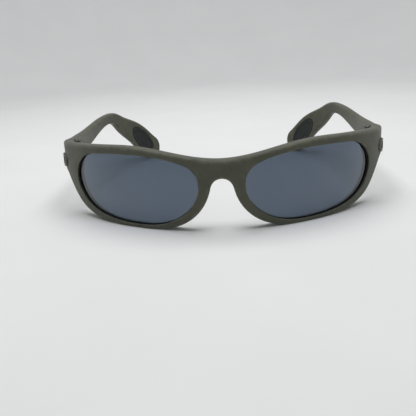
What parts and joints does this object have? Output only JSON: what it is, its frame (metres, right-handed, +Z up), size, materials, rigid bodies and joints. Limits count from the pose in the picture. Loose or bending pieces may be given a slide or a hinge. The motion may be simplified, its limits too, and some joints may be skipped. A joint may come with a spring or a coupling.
{
  "type": "wraparound sport sunglasses",
  "caption": "Curved sport sunglasses with smoked lenses in a matte wraparound frame, temples folding on metal hinges, and rubber pads inside the temple tips.",
  "frame": {"origin": "on the table, under the middle of the open glasses", "axes": "+Z up; the wearer looks along -Y, so the lenses face -Y and the temples run back along +Y; +X is the wearer's left"},
  "size_m": [0.143, 0.141, 0.0326],
  "materials": {
    "frame": "soft-touch olive grey",
    "lens": "polished, smoked blue grey, tinted through",
    "seal": "matte black",
    "pad": "matte black",
    "badge": "soft-touch olive grey",
    "inlay": "black",
    "steel": "plain"
  },
  "bodies": {
    "front": {"front_frame": "frame", "lens_left": "lens", "lens_seal_left": "seal", "badge_left": "badge", "badge_inlay_left": "inlay", "hinge_leaf_front_left": "steel", "hinge_screw_left": "steel", "rivet_front_left_1": "steel", "rivet_front_left_2": "steel", "lens_right": "lens", "lens_seal_right": "seal", "badge_right": "badge", "badge_inlay_right": "inlay", "hinge_leaf_front_right": "steel", "hinge_screw_right": "steel", "rivet_front_right_1": "steel", "rivet_front_right_2": "steel"},
    "temple_left": {"temple_left": "frame", "temple_pad_left": "pad", "hinge_leaf_temple_left": "steel", "rivet_temple_left_1": "steel", "rivet_temple_left_2": "steel"},
    "temple_right": {"temple_right": "frame", "temple_pad_right": "pad", "hinge_leaf_temple_right": "steel", "rivet_temple_right_1": "steel", "rivet_temple_right_2": "steel"}
  },
  "joints": [
    {"name": "temple_left_fold", "type": "hinge", "parent": "front", "child": "temple_left", "pos_m": [0.06565, -0.02036, 0.0242], "axis": [0, 0, 1], "range_deg": [0, 93]},
    {"name": "temple_right_fold", "type": "hinge", "parent": "front", "child": "temple_right", "pos_m": [-0.06565, -0.02036, 0.0242], "axis": [0, 0, -1], "range_deg": [0, 81]}
  ]
}
